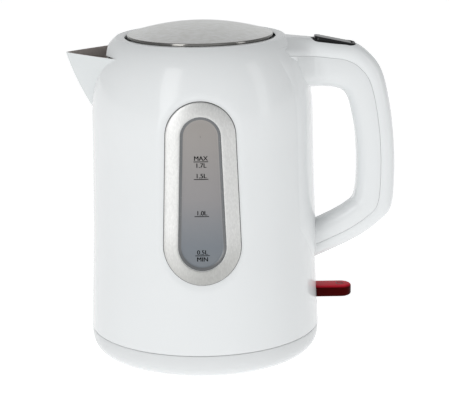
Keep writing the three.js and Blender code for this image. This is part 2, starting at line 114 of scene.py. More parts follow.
def settle(piece):
    """Bakes a piece's modifiers into its mesh."""
    graph = bpy.context.evaluated_depsgraph_get()
    mesh = bpy.data.meshes.new_from_object(piece.evaluated_get(graph))
    old = piece.data
    piece.modifiers.clear()
    piece.data = mesh
    bpy.data.meshes.remove(old)


def cut(piece, cutter, operation="DIFFERENCE"):
    """Applies one boolean to a piece and removes the cutter."""
    modifier = piece.modifiers.new("cut", "BOOLEAN")
    modifier.operation = operation
    modifier.object = cutter
    modifier.solver = "EXACT"
    settle(piece)
    bpy.data.objects.remove(cutter)
    clean(piece)
    return piece


def rounded(piece, width, segments):
    """Rounds a piece's edges over 50 degrees by `width` millimetres."""
    modifier = piece.modifiers.new("round", "BEVEL")
    modifier.width = width * MM
    modifier.segments = segments
    modifier.limit_method = "ANGLE"
    modifier.angle_limit = math.radians(50)
    settle(piece)
    clean(piece)
    return piece


def grid_faces(rows, columns, wrap_rows=False, wrap_columns=True):
    """Quads between neighbouring rows of a grid of points, numbered row by row."""
    faces = []
    for i in range(rows if wrap_rows else rows - 1):
        for j in range(columns if wrap_columns else columns - 1):
            k, n = (i + 1) % rows, (j + 1) % columns
            faces.append((i * columns + j, i * columns + n, k * columns + n, k * columns + j))
    return faces


def turned(name, profile, materials, segments, band=None):
    """Turns a closed [radius, height] outline about the Z axis. band(i) gives each row's material."""
    points = []
    for r, z in profile:
        for j in range(segments):
            a = 2 * math.pi * j / segments
            points.append((r * math.cos(a), r * math.sin(a), z))
    faces = grid_faces(len(profile), segments, wrap_rows=True)
    slots = [band(i // segments) for i in range(len(faces))] if band else None
    return new_object(name, points, faces, materials, slots)


def loft(name, rings, materials):
    """A solid through rings of equally many points, closed at both ends."""
    count = len(rings[0])
    points = [p for ring in rings for p in ring]
    faces = grid_faces(len(rings), count)
    faces.append(tuple(range(count)))
    faces.append(tuple((len(rings) - 1) * count + i for i in range(count)))
    return new_object(name, points, faces, materials)


def box_piece(name, low, high, materials=()):
    """A plain block between two corners."""
    (a, b, c), (d, e, f) = low, high
    points = [(a, b, c), (d, b, c), (d, e, c), (a, e, c), (a, b, f), (d, b, f), (d, e, f), (a, e, f)]
    faces = [(3, 2, 1, 0), (4, 5, 6, 7), (0, 1, 5, 4), (1, 2, 6, 5), (2, 3, 7, 6), (3, 0, 4, 7)]
    return new_object(name, points, faces, materials)


def rounded_bar(long, wide, radius, steps=8):
    """The corner points of a rectangle with round corners, centred on the origin."""
    outline = []
    for i, (sx, sy) in enumerate(((1, -1), (1, 1), (-1, 1), (-1, -1))):
        cx, cy = sx * (long / 2 - radius), sy * (wide / 2 - radius)
        for k in range(steps + 1):
            a = math.pi / 2 * (i - 1 + k / steps)
            outline.append((cx + radius * math.cos(a), cy + radius * math.sin(a)))
    return outline


# ------------------------------------------------------------------ materials
class Look:
    """A Principled material with a small node graph in object space, where one unit is a metre."""

    def __init__(self, name, color, roughness, metallic=0.0, **constants):
        self.material = bpy.data.materials.new(name)
        self.material.use_nodes = True
        self.nodes = self.material.node_tree.nodes
        self.links = self.material.node_tree.links
        self.shader = self.nodes["Principled BSDF"]
        self.shader.inputs["Base Color"].default_value = (*color, 1)
        self.shader.inputs["Roughness"].default_value = roughness
        self.shader.inputs["Metallic"].default_value = metallic
        for socket, value in constants.items():
            self.shader.inputs[socket.replace("_", " ")].default_value = value
        self.place = self.nodes.new("ShaderNodeTexCoord").outputs["Object"]

    def stretched(self, scale):
        node = self.nodes.new("ShaderNodeMapping")
        node.inputs["Scale"].default_value = scale
        self.links.new(self.place, node.inputs["Vector"])
        return node.outputs["Vector"]

    def noise(self, scale, detail=3.0, stretch=(1, 1, 1)):
        node = self.nodes.new("ShaderNodeTexNoise")
        node.inputs["Scale"].default_value = scale
        node.inputs["Detail"].default_value = detail
        self.links.new(self.stretched(stretch), node.inputs["Vector"])
        return node.outputs["Fac"]

    def remap(self, value, low, high, start=0.3, end=0.7):
        node = self.nodes.new("ShaderNodeMapRange")
        node.inputs["From Min"].default_value = start
        node.inputs["From Max"].default_value = end
        node.inputs["To Min"].default_value = low
        node.inputs["To Max"].default_value = high
        self.links.new(value, node.inputs["Value"])
        return node.outputs["Result"]

    def ramp(self, value, stops):
        node = self.nodes.new("ShaderNodeValToRGB")
        ramp = node.color_ramp
        while len(ramp.elements) < len(stops):
            ramp.elements.new(0.5)
        for element, (place, color) in zip(ramp.elements, stops):
            element.position = place
            element.color = (*color, 1)
        self.links.new(value, node.inputs["Fac"])
        return node.outputs["Color"]

    def multiplied(self, one, other):
        node = self.nodes.new("ShaderNodeMix")
        node.data_type, node.blend_type = "RGBA", "MULTIPLY"
        color_a, color_b = [socket for socket in node.inputs if socket.type == "RGBA"]
        node.inputs[0].default_value = 1.0
        self.links.new(one, color_a)
        self.links.new(other, color_b)
        return next(socket for socket in node.outputs if socket.type == "RGBA")

    def height(self):
        """The height in the piece's own space, in metres."""
        node = self.nodes.new("ShaderNodeSeparateXYZ")
        self.links.new(self.place, node.inputs["Vector"])
        return node.outputs["Z"]

    def color(self, output):
        self.links.new(output, self.shader.inputs["Base Color"])
        return self

    def roughness(self, output):
        self.links.new(output, self.shader.inputs["Roughness"])
        return self

    def bump(self, value, strength, distance=0.0002):
        node = self.nodes.new("ShaderNodeBump")
        node.inputs["Strength"].default_value = strength
        node.inputs["Distance"].default_value = distance
        self.links.new(value, node.inputs["Height"])
        self.links.new(node.outputs["Normal"], self.shader.inputs["Normal"])
        return self


def tinted(color, amount):
    return tuple(min(1.0, c * amount) for c in color)


def white_lacquer(name, base, coat=0.35, specular=0.25):
    """Smooth white gloss: a faint orange-peel ripple and a slight tone drift. The base has less coat."""
    look = Look(name, base, 0.2, Coat_Weight=coat, Coat_Roughness=0.04, Specular_IOR_Level=specular)
    tone = look.ramp(look.noise(9), [(0.3, tinted(base, 0.985)), (0.7, tinted(base, 1.012))])
    look.color(tone)
    look.roughness(look.remap(look.noise(60), 0.17, 0.25))
    return look.bump(look.noise(700, 2.0), 0.035).material


def white_plastic(name, base):
    """Moulded white plastic, a touch softer than the lacquer, with a fine spark-eroded grain."""
    look = Look(name, base, 0.26, Coat_Weight=0.2, Coat_Roughness=0.1, Specular_IOR_Level=0.35)
    tone = look.ramp(look.noise(14), [(0.3, tinted(base, 0.985)), (0.7, tinted(base, 1.01))])
    look.color(tone)
    look.roughness(look.remap(look.noise(60), 0.22, 0.3))
    return look.bump(look.noise(650, 2.0), 0.03).material


# the trim's painted shade from its lower end (0) to its top (1): darker towards both ends
TRIM_PAINTED_SHADE = [(0.0, (0.66, 0.66, 0.65)), (0.12, (0.8, 0.8, 0.79)), (0.3, (1, 1, 1)), (0.85, (1, 1, 1)),
              (1.0, (0.93, 0.93, 0.93))]


TRIM_SPAN, PANE_SPAN = (0.07, 0.195), (0.08, 0.186)      # metres above the floor


def steel(name, base, rough, stretch, grain, contrast, strength, metal=1.0, painted_shade=None):
    """Brushed steel: long fine lines along one axis with broken-up bright flecks. A ramp by height, when
    given, darkens it as painted shade.
    """
    look = Look(name, base, rough, metal)
    lines = look.noise(grain, 4.0, stretch)
    cloudy = look.noise(grain * 0.35, 5.0, tuple(0.4 + 0.6 * s for s in stretch))
    mix = look.nodes.new("ShaderNodeMath")
    mix.operation = "MULTIPLY"
    look.links.new(lines, mix.inputs[0])
    look.links.new(cloudy, mix.inputs[1])
    tone = look.ramp(mix.outputs[0], [(0.12, tinted(base, 1 - contrast)), (0.4, tinted(base, 1 + contrast))])
    # painted shade: the colour is darkened by height, towards the lower end and the top
    if painted_shade:
        up = look.remap(look.height(), 0.0, 1.0, *TRIM_SPAN)
        tone = look.multiplied(tone, look.ramp(up, painted_shade))
    look.color(tone)
    look.roughness(look.remap(lines, rough * 0.8, rough * 1.25))
    return look.bump(lines, strength, 0.00005).material


# painted reflection: the polished steel's dark base colour stands in for dark surroundings it would reflect
def polished_steel_painted_reflection():
    look = Look("polished_steel_painted_reflection", (0.24, 0.235, 0.225), 0.12, 1.0)
    look.roughness(look.remap(look.noise(300), 0.07, 0.16))
    return look.bump(look.noise(500), 0.03, 0.0001).material


def plastic(name, base, rough, grain=1400.0, strength=0.08, **constants):
    look = Look(name, base, rough, **constants)
    look.color(look.ramp(look.noise(25), [(0.3, tinted(base, 0.9)), (0.7, tinted(base, 1.1))]))
    look.roughness(look.remap(look.noise(120), rough * 0.85, rough * 1.15))
    return look.bump(look.noise(grain, 2.0), strength, 0.0001).material


def smoked_window():
    """Smoked clear plastic over the water space: warmer at the top, bluer and darker below."""
    look = Look("smoked_window", (0.3, 0.3, 0.3), 0.14, Coat_Weight=0.6, Coat_Roughness=0.03)
    up = look.remap(look.height(), 0.0, 1.0, *PANE_SPAN)
    look.color(look.ramp(up, [(0.0, (0.153, 0.172, 0.193)), (0.15, (0.147, 0.167, 0.191)),
                              (0.3, (0.188, 0.196, 0.212)), (0.46, (0.24, 0.231, 0.235)),
                              (0.9, (0.292, 0.272, 0.256))]))
    look.roughness(look.remap(look.noise(40), 0.1, 0.18))
    return look.bump(look.noise(200), 0.02, 0.0001).material


def red_clear():
    """Clear red plastic with painted light and shade: bright where a face points up, nearly black on its
    sides.
    """
    look = Look("red_clear", (0.3, 0.003, 0.01), 0.12, Specular_IOR_Level=0.03)
    painted_light_normal = look.nodes.new("ShaderNodeSeparateXYZ")
    look.links.new(look.nodes.new("ShaderNodeNewGeometry").outputs["Normal"], painted_light_normal.inputs["Vector"])
    # painted light: tops drawn bright red and sides nearly black by the surface normal, not by a lamp
    dark, bright = (0.045, 0.0, 0.0), (0.55, 0.016, 0.035)
    look.color(look.ramp(painted_light_normal.outputs["Z"], [(0.15, dark), (0.95, bright)]))
    look.roughness(look.remap(look.noise(200), 0.05, 0.12))
    return look.bump(look.noise(400), 0.03, 0.0001).material


def ink():
    look = Look("scale_ink", (0.004, 0.004, 0.0045), 0.6, Specular_IOR_Level=0.0)
    look.color(look.ramp(look.noise(900), [(0.3, (0.003, 0.003, 0.0033)), (0.7, (0.007, 0.007, 0.0075))]))
    return look.material


WHITE = white_lacquer("white_lacquer", (0.8, 0.817, 0.823))
# painted shade: the spout's lacquer is a darker copy of the jug's white
SPOUT_SHADED_WHITE = white_lacquer("spout_lacquer_painted_shade", (0.69, 0.715, 0.72))
MOULDED = white_plastic("white_plastic", (0.72, 0.737, 0.743))
BASE_WHITE = white_lacquer("base_plastic", (0.71, 0.723, 0.728), coat=0.08, specular=0.12)
LID_STEEL = steel("lid_steel", (0.95, 0.945, 0.91), 0.42, (0.12, 1, 1), 1300, 0.14, 0.16)
TRIM_STEEL = steel("trim_steel", (0.67, 0.67, 0.66), 0.42, (1, 1, 0.2), 2600, 0.09, 0.1, 1.0, TRIM_PAINTED_SHADE)
SPOUT_STEEL = steel("spout_steel", (0.5, 0.445, 0.42), 0.5, (1, 1, 0.3), 900, 0.08, 0.05, 0.35)
INNER_STEEL = steel("inner_steel", (0.42, 0.395, 0.375), 0.45, (1, 1, 0.25), 500, 0.12, 0.08)
PLAIN_STEEL = steel("plain_steel", (0.55, 0.54, 0.52), 0.3, (1, 0.2, 1), 800, 0.1, 0.1)
POLISHED_PAINTED_REFLECTION = polished_steel_painted_reflection()
BLACK = plastic("black_plastic", (0.004, 0.004, 0.0043), 0.34, Specular_IOR_Level=0.2)
BLACK_GLOSS = plastic("black_gloss", (0.005, 0.0052, 0.0055), 0.2, 900, 0.03, Specular_IOR_Level=0.35)
GREY = plastic("grey_plastic", (0.35, 0.355, 0.36), 0.45)
RUBBER = plastic("rubber", (0.055, 0.055, 0.057), 0.8, 700, 0.2)
SILICONE = plastic("silicone", (0.6, 0.6, 0.57), 0.5, 500, 0.05, Subsurface_Weight=0.2)
BRASS = steel("contact_metal", (0.72, 0.5, 0.22), 0.3, (1, 0.3, 1), 700, 0.1, 0.08)
DARK_STEEL = steel("element_steel", (0.3, 0.29, 0.28), 0.45, (1, 1, 0.4), 600, 0.12, 0.1)
PANE = smoked_window()
PANE_EDGE = plastic("pane_edge", (0.13, 0.135, 0.14), 0.25, 900, 0.03, Coat_Weight=0.4)
MARK = plastic("switch_mark", (0.06, 0.002, 0.004), 0.35)
RED = red_clear()
INK = ink()

NODE_LOOKS = {
    "element_plate": INNER_STEEL, "heat_spreader": PLAIN_STEEL, "heating_element": DARK_STEEL,
    "lid_hinge_pin": PLAIN_STEEL, "filter_mesh": PLAIN_STEEL, "switch_pin": PLAIN_STEEL,
    "latch_bolt": PLAIN_STEEL, "latch_spring": PLAIN_STEEL, "button_spring": PLAIN_STEEL,
    "base_socket": BLACK, "cord_gland": BLACK, "controller": BLACK, "jug_connector": BLACK,
    "base_bottom_plate": GREY, "socket_shutter": GREY, "steam_tube": GREY, "button_carrier": GREY,
    "filter_frame": GREY, "lid_body": GREY, "lid_collar": MOULDED, "bottom_cover": MOULDED,
    "window_gasket": SILICONE, "element_seal": SILICONE, "lid_seal": SILICONE,
    "dry_boil_disc": BRASS, "steam_disc": BRASS, "indicator_lamp": RED,
}
for node_name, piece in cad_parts.items():
    look = NODE_LOOKS.get(node_name)
    if node_name.startswith("base_foot"):
        look = RUBBER
    elif node_name.startswith("bottom_screw"):
        look = PLAIN_STEEL
    elif node_name.endswith("_contact"):
        look = BRASS
    if look:
        piece.data.materials.clear()
        piece.data.materials.append(look)


# ------------------------------------------------------------------ shared outlines
def spread(low, high, count):
    """Evenly spaced values from low to high, both included."""
    return [low + (high - low) * i / (count - 1) for i in range(count)]


def jug_rows(grow, low, high, step):
    """Outline points (radius, height) up the jug, about `step` apart and `grow` outside it."""
    count = max(2, round((high - low) / step) + 1)
    return [(jug_radius(z) + grow, z) for z in spread(low, high, count)]


def jug_core(grow):
    """A solid of the closed jug grown by `grow`, for trimming what meets it."""
    low, top, segments = 10.0, 230.2, 256
    rows = [(0.0, low), *jug_rows(grow, low, top, 1.5), (0.0, top + grow)]
    points = [(r * math.cos(a), r * math.sin(a), z) for r, z in rows
              for a in spread(0, 2 * math.pi * (1 - 1 / segments), segments)]
    return new_object("core", points, grid_faces(len(rows), segments), [])


WINDOW_TOP_C, WINDOW_LOW_C = WINDOW_TOP_Z - WINDOW_TOP_HALF, WINDOW_LOW_Z + WINDOW_LOW_HALF


def window_outline(grow):
    """The window's outline grown by `grow`, as (x, z), from the middle of the top clockwise."""
    arc, side = 40, 48
    top, low = WINDOW_TOP_HALF + grow, WINDOW_LOW_HALF + grow
    right = [(top * math.sin(a), WINDOW_TOP_C + top * math.cos(a)) for a in spread(0, math.pi / 2, arc)]
    for t in spread(0, 1, side)[1:-1]:
        right.append((top + (low - top) * t, WINDOW_TOP_C + (WINDOW_LOW_C - WINDOW_TOP_C) * t))
    right += [(low * math.cos(a), WINDOW_LOW_C - low * math.sin(a)) for a in spread(0, math.pi / 2, arc)]
    left = [(-x, z) for x, z in right[1:-1]][::-1]
    return right + left


def window_distance(x, z):
    """How far a point of the wall lies outside the window's outline."""
    if z > WINDOW_TOP_C:
        return math.hypot(x, z - WINDOW_TOP_C) - WINDOW_TOP_HALF
    if z < WINDOW_LOW_C:
        return math.hypot(x, z - WINDOW_LOW_C) - WINDOW_LOW_HALF
    t = (z - WINDOW_LOW_C) / (WINDOW_TOP_C - WINDOW_LOW_C)
    return abs(x) - (WINDOW_LOW_HALF + (WINDOW_TOP_HALF - WINDOW_LOW_HALF) * t)


def on_wall(x, z, layer):
    """The point of the jug's front whose x and z are given, `layer` outside the wall."""
    r = jug_radius(z) + layer
    return (x, -math.sqrt(max(0.0, r * r - x * x)), z)


def window_block():
    """The cutter for the window's opening through the front wall."""
    rings = [[(x, y, z) for x, z in window_outline(0.0)] for y in (-110.0, -55.0)]
    return loft("window_cutter", rings, [])


def spout_ring(z, inset):
    """A level cut through the spout: a rounded V with its ridge in front, moved in by `inset`."""
    t = (z - SPOUT_FOOT_Z) / (SPOUT_FORM_TOP_Z - SPOUT_FOOT_Z)
    ridge = SPOUT_RIDGE_X - SPOUT_RUN * t + SPOUT_BOW * t * t + inset * 1.3
    ring = []
    half_count = 20
    for i in range(-half_count, half_count + 1):
        depth = SPOUT_DEPTH * abs(i / half_count) ** 1.6
        half = SPOUT_HALF * (depth / SPOUT_HALF) ** 0.9
        ring.append((ridge + depth, math.copysign(half, i) if i else 0.0, z))
    return ring


def spout_form(name, inset, low, high, count=24, materials=()):
    """The spout as a solid between two heights, moved in by `inset`."""
    return loft(name, [spout_ring(z, inset) for z in spread(low, high, count)], materials)


# ------------------------------------------------------------------ jug body
DISH_DEPTH, DISH_LOW_Z, DISH_TOP_Z = 0.75, 60, 210       # the wall's dip round the window
LACQUERED_RIM_ROWS = 5   # rows of the rim that are lacquered, before the bare steel starts
SWITCH_SLOT = (60, -9, 33.2), (90, 9, 46.8)
LATCH_WAY = (60, -5, 219.5), (72, 5, 224.4)
HINGE_NOTCH = [(48, 218), (60.6, 218), (60.6, 226.3), (58.6, 227.9), (57.6, 228.7), (48, 228.7)]
HINGE_NOTCH_HALF = 14.8


def plate(name, outline, half):
    """A flat plate over an (x, z) outline, `half` thick to each side."""
    return loft(name, [[(x, y, z) for x, z in outline] for y in (-half, half)], [])


def jug_body():
    """The lacquered jug with a bare steel inside, a soft dish round the window and a rolled rim."""
    segments = 360
    outside = [(jug_radius(SEAM_Z) - 0.9, SEAM_Z + 0.1), (jug_radius(SEAM_Z) - 0.2, SEAM_Z + 0.12),
               (jug_radius(SEAM_Z + 0.4), SEAM_Z + 0.4)]
    outside += jug_rows(0, SEAM_Z + 3, 60, 5.0) + jug_rows(0, 62, 229.2, 1.6)
    rim = [(RIM_R + 2.7, 229.45), (RIM_R + 0.8, RIM_Z - 0.75), (RIM_R + 0.3, RIM_Z - 0.95),
           (RIM_R + 0.05, RIM_Z - 1.3), (RIM_R, RIM_Z - 1.8), (RIM_R, 224.0), (RIM_R + 0.9, 224.0),
           (RIM_R + 0.9, 228.6)]
    inside = jug_rows(-WALL, SEAM_Z + 0.1, 229.0, 7.0)[::-1]
    profile = outside + rim + inside
    points = []
    for i, (r, z) in enumerate(profile):
        for j in range(segments):
            a = 2 * math.pi * j / segments
            x, y = r * math.cos(a), r * math.sin(a)
            if i < len(outside) and y < 0 and DISH_LOW_Z < z < DISH_TOP_Z:
                beyond = window_distance(x, z) - TRIM_WIDTH
                sink = DISH_DEPTH * (1 - smooth(-0.2, 5.5, beyond)) * smooth(-6.5, -3.5, beyond)
                x, y = x * (1 - sink / r), y * (1 - sink / r)
            points.append((x, y, z))
    faces = grid_faces(len(profile), segments, wrap_rows=True)
    painted = len(outside) + LACQUERED_RIM_ROWS
    slots = [0 if i // segments < painted else 1 for i in range(len(faces))]
    body = new_object("jug_body_skin", points, faces, [WHITE, INNER_STEEL], slots)
    cut(body, window_block())
    cut(body, mouth_block())
    cut(body, box_piece("slot", *SWITCH_SLOT))
    cut(body, plate("notch", HINGE_NOTCH, HINGE_NOTCH_HALF))
    cut(body, box_piece("way", *LATCH_WAY))
    return body


def mouth_block():
    """The pouring mouth through the wall: the spout's channel with an arched top."""
    half, low, spring, peak = 19.0, 212.0, 219.5, 229
    outline = [(-half, low), (half, low), (half, spring)]
    for t in spread(0, 1, 17)[1:]:
        outline.append((half - 2 * half * t, (1 - t) ** 2 * spring + 2 * t * (1 - t) * peak + t * t * spring))
    block = loft("mouth", [[(x, y, z) for y, z in outline] for x in (-100.0, -50.0)], [])
    return cut(block, spout_form("channel", 2 * WALL, 184, 219), "UNION")


def spout():
    """The lacquered spout, in a darker copy of the white as painted shade, with a bare steel channel and rim.
    """
    form = spout_form("spout_skin", 0.0, 176.0, SPOUT_RIM_Z, 30, [SPOUT_SHADED_WHITE, SPOUT_STEEL])
    channel = spout_form("channel", 0.9, 174.8, SPOUT_RIM_Z + 4, 30, [SPOUT_STEEL])
    cut(form, channel)
    cut(form, jug_core(-0.5))
    for polygon in form.data.polygons:
        if polygon.center.z > (SPOUT_RIM_Z - 0.05) * MM:
            polygon.material_index = 1
    return form


def window_rings(steps):
    """One ring round the window for each (growth of its outline, height over the wall)."""
    return [[on_wall(x, z, layer) for x, z in window_outline(grow)] for grow, layer in steps]


def window_trim():
    """The raised brushed trim round the window, with rubber where it meets the wall and the pane."""
    w = TRIM_WIDTH
    loop = [(w + 0.4, -1.0), (w + 0.4, -0.62), (w, -0.6), (w, 0.0), (w - 0.07, 0.2), (w - 0.25, 0.35),
            (w - 0.6, 0.44), (w - 2, 0.5), (5.0, 0.52), (2.0, 0.5), (0.8, 0.44), (0.45, 0.35), (0.25, 0.2),
            (0.18, 0.0), (0.18, -1.2)]
    first_steel, last_steel = 3, 12
    rings = window_rings(loop)
    count = len(rings[0])
    points = [point for ring in rings for point in ring]
    faces = grid_faces(len(rings), count, wrap_rows=True)
    slots = [0 if first_steel <= i // count <= last_steel else 1 for i in range(len(faces))]
    return new_object("window_trim_skin", points, faces, [TRIM_STEEL, RUBBER], slots, 50)


def window_pane():
    """The smoked pane sunk inside the trim: a dark bevel, a level face and a back."""
    bevel = [(2.3, -2.6), (2.3, -1.4), (-0.05, -1.4), (-0.05, -0.55), (-0.2, -0.4), (-0.5, -0.42),
             (-2.0, -1.35), (-2.5, -1.6)]
    level = [(-inwards, PANE_LAYER) for inwards in (3.0, 5.0, 7.5, 10.0, 12.5, 13.9)]
    back = [(-13.9, -2.6), (-7.0, -2.6)]
    dark_rows = 6
    rings = window_rings(bevel + level + back)
    count = len(rings[0])
    points = [point for ring in rings for point in ring]
    front = len(bevel) + len(level)
    faces = grid_faces(front, count)
    slots = [1 if i // count < dark_rows else 0 for i in range(len(faces))]
    faces += [tuple(front * count + v for v in quad) for quad in grid_faces(2, count)]
    last = (front + 1) * count
    faces += [(last + j, last + (j + 1) % count, (j + 1) % count, j) for j in range(count)]
    slots += [0] * (2 * count)
    for row in (front - 1, front):       # close the middle of the face and of the back, side to side
        for i in range(count // 2):
            j, k = (count - i) % count, count - i - 1
            quad = [row * count + v for v in (i, i + 1, k, j)]
            if len(set(quad)) > 2:
                faces.append(tuple(dict.fromkeys(quad)))
                slots.append(0)
    return new_object("window_pane_skin", points, faces, [PANE, PANE_EDGE], slots, 60)


# ------------------------------------------------------------------ handle
def catmull(points, s):
    """The point at s = 0..1 along a smooth curve through the given points."""
    t = s * (len(points) - 1)
    i = min(int(t), len(points) - 2)
    w = t - i
    a = points[i - 1] if i > 0 else points[i]
    b, c = points[i], points[i + 1]
    d = points[i + 2] if i + 2 < len(points) else points[i + 1]
    out = []
    for p0, p1, p2, p3 in zip(a, b, c, d):
        v0, v1 = (p2 - p0) / 2, (p3 - p1) / 2
        out.append((2 * p1 - 2 * p2 + v0 + v1) * w**3 + (-3 * p1 + 3 * p2 - 2 * v0 - v1) * w**2 + v0 * w + p1)
    return out


# the handle's outer and inner lines from its upper end, as (x, z)
OUTSIDE = [(56, 228.4), (77, 226.8), (93, 224.9), (107.5, 222.6), (118.2, 215.8), (127.4, 203.6),
           (133.2, 181), (136.6, 152), (137.1, 125), (134.9, 104), (126.5, 93.7), (112, 83), (92, 73),
           (70, 63.6)]
INSIDE = [(56, 192.9), (77, 192.7), (86, 192.5), (93.5, 191.6), (100, 189.2), (103.9, 183.2), (106.8, 172),
          (109.4, 155), (110.1, 130), (108.1, 112.4), (102.6, 106.2), (95, 101.5), (86, 97), (70, 89.7)]


# the seam's share of the handle's depth at the top, and what it loses by the foot
SEAM_SHARE, SEAM_DRIFT = 0.66, 0.07
HANDLE_STATIONS = 110


def station(s):
    """The handle at s = 0..1 from its upper end: inner point, outward direction, depth, seam depth."""
    inner, outer = Vector(catmull(INSIDE, s)), Vector(catmull(OUTSIDE, s))
    across = outer - inner
    depth = across.length
    return inner, across.normalized(), depth, depth * (SEAM_SHARE - SEAM_DRIFT * s)


def handle_section(edge, far, radius):
    """A closed section of the handle from its open edge to its far face, as (depth, half width)."""
    sign = 1 if far > edge else -1
    arc = []
    for turn in spread(0, math.pi / 2, 14):
        arc.append((far - sign * radius * (1 - math.sin(turn)), GRIP_HALF - radius * (1 - math.cos(turn))))
    lead = [(edge, GRIP_HALF - 0.35), (edge + sign * 0.06, GRIP_HALF - 0.12),
            (edge + sign * 0.25, GRIP_HALF)]
    crown = [(far, y) for y in spread(GRIP_HALF - radius, 0, 6)[1:]]
    half = lead + arc + crown
    floor = [(edge, y) for y in (4.0, 8.0)]
    return half + [(u, -y) for u, y in half[::-1][1:]] + [(u, -y) for u, y in floor[::-1]] + floor


def flared(x, y, z):
    """Widens the handle into a hood where its upper end runs into the jug, widest from z = 210 to 219.

    A point's distance from the wall depends on its width, so the width is found step by step.
    """
    hood = smooth(150, 190, z) * (0.95 + 0.65 * smooth(194, 210, z)) * (1 - 0.55 * smooth(219, 227.5, z))
    wide = y
    for _ in range(16):
        off = max(0.0, math.hypot(x, wide) - jug_radius(min(z, 228.0)))
        near = max(0.0, 1 - off / HOOD_REACH) ** 2.4
        wide = (wide + y * (1 + near * hood)) / 2
    lift = 0.12 * abs(wide - y) * smooth(194, 212, z) * (1 - smooth(218, 226, z))
    return (x, wide, z + lift)


def handle_sweep(name, section_at):
    """Sweeps a section along the handle. section_at(depth, seam) gives its outline."""
    rings = []
    for s in spread(0, 1, HANDLE_STATIONS):
        inner, out, depth, seam = station(s)
        section = section_at(depth, seam)
        rings.append([flared(inner.x + out.x * u, y, inner.y + out.y * u) for u, y in section])
    return loft(name, rings, [WHITE])


SADDLE_LOW_Z, SADDLE_TOP_Z, SADDLE_RISE = 67, 224, 1.8


def saddle():
    """The low raised patch of the wall that both ends of the grip grow out of."""
    rings = []
    for z in spread(SADDLE_LOW_Z, SADDLE_TOP_Z, 70):
        wide = math.radians(8 + 24 * min(1, (z - 64) / 34) + 10 * max(0, (z - 196) / 28))
        ends = smooth(66, 78, z) * (1 - 0.7 * smooth(212, 225, z))
        top, under = [], []
        for a in spread(-1, 1, 49):
            turn = a * wide
            rise = -0.25 + SADDLE_RISE * ends * (1 - abs(a) ** 5)
            r = jug_radius(z) + rise
            top.append((r * math.cos(turn), r * math.sin(turn), z))
            r = jug_radius(z) - 0.8
            under.append((r * math.cos(turn), r * math.sin(turn), z))
        rings.append(top + under[::-1])
    return loft("saddle", rings, [WHITE])


BUTTON_WAY = (60, -5.4, 209.6), (84, 5.4, 224.6)
WELL_TILT, WELL_DROP = BUTTON_TILT * 0.55, 1.8       # the well follows the handle's top, not the button


def button_ring(h, outline, tilt=BUTTON_TILT, drop=0.0):
    """An outline laid on the handle's top at the button's place, raised by `h` along its tilt."""
    return [(BUTTON_X + x * math.cos(tilt) + h * math.sin(tilt), y,
             BUTTON_Z - drop - x * math.sin(tilt) + h * math.cos(tilt)) for x, y in outline]


def well_block(name, low, high, outline, materials=()):
    """A block over an outline, along the slant of the handle's top at the button."""
    return loft(name, [button_ring(h, outline, WELL_TILT, WELL_DROP) for h in (low, high)], materials)


def handle():
    """The grip with the raised patch it grows from, and the cover that closes it from outside."""
    grip = handle_sweep("handle_grip_skin", lambda depth, seam: handle_section(seam - 0.05, 0, 9.0))
    cut(grip, saddle(), "UNION")
    cut(grip, jug_core(-0.5))
    cut(grip, box_piece("way", *BUTTON_WAY))
    cover = handle_sweep("handle_cover_skin", lambda depth, seam: handle_section(seam + 0.05, depth, 8.5))
    cut(cover, jug_core(-0.3))
    cut(cover, well_block("well", -14, 12, rounded_bar(BUTTON_LONG + 5, BUTTON_WIDE + 3, 5)))
    return grip, cover


# ------------------------------------------------------------------ base, lid, button and switch
BASE_FOOT_R, BASE_BULGE, BASE_EDGE_Z, BASE_DROP = 65.8, 16.5, 19.2, 17.6
BASE_POWER = 2 / 2.7     # the exponent of the base's rounded side
CORD_OUTLET = (-4.9, 60, 3.2), (4.9, 90, 12.7)


def base():
    """The base's cover: a rounded side, a level top and a step up to the socket's hole."""
    curve = []
    for t in spread(0, math.pi / 2, 40):
        curve.append((BASE_FOOT_R + BASE_BULGE * math.sin(t) ** BASE_POWER,
                      BASE_EDGE_Z - BASE_DROP * math.cos(t) ** BASE_POWER))
    profile = [*curve, (82.2, 19.5), (82.0, 19.66), (81.7, 19.7), (71, 19.7), (68.5, 17), (19.6, 17),
               (19.6, 15), (66.5, 15), (69, 17.4), (78, 17.4), (79.6, 15), (77.5, 8), (72, 4.4), (65.8, 3.4)]
    cover = turned("base_cover_skin", profile, [BASE_WHITE], 256)
    return cut(cover, box_piece("outlet", *CORD_OUTLET))


def lid_cap():
    """A brushed domed cap inside a bright rolled edge, whose dark colour is a painted reflection."""
    edge = LID_EDGE_Z + LID_LIP

    def dome(r):
        return edge + LID_RISE * (1 - (r / (LID_R - 0.7)) ** 2)

    ring = [(LID_R - 0.3, LID_EDGE_Z), (LID_R, LID_EDGE_Z + 0.3), (LID_R, edge - 0.85),
            (LID_R - 0.1, edge - 0.45), (LID_R - 0.35, edge - 0.15), (LID_R - 0.7, edge)]
    face = [(r, dome(r)) for r in spread(LID_R - 1.1, 0.05, 46)]
    under = [(r, dome(r) - 1.1) for r in spread(0.05, LID_R - 1.9, 14)]
    profile = ring + face + under + [(LID_R - 1.2, LID_EDGE_Z)]
    bright = len(ring) - 2
    return turned("lid_cap_skin", profile, [LID_STEEL, POLISHED_PAINTED_REFLECTION], 256, lambda i: 1 if i < bright else 0)


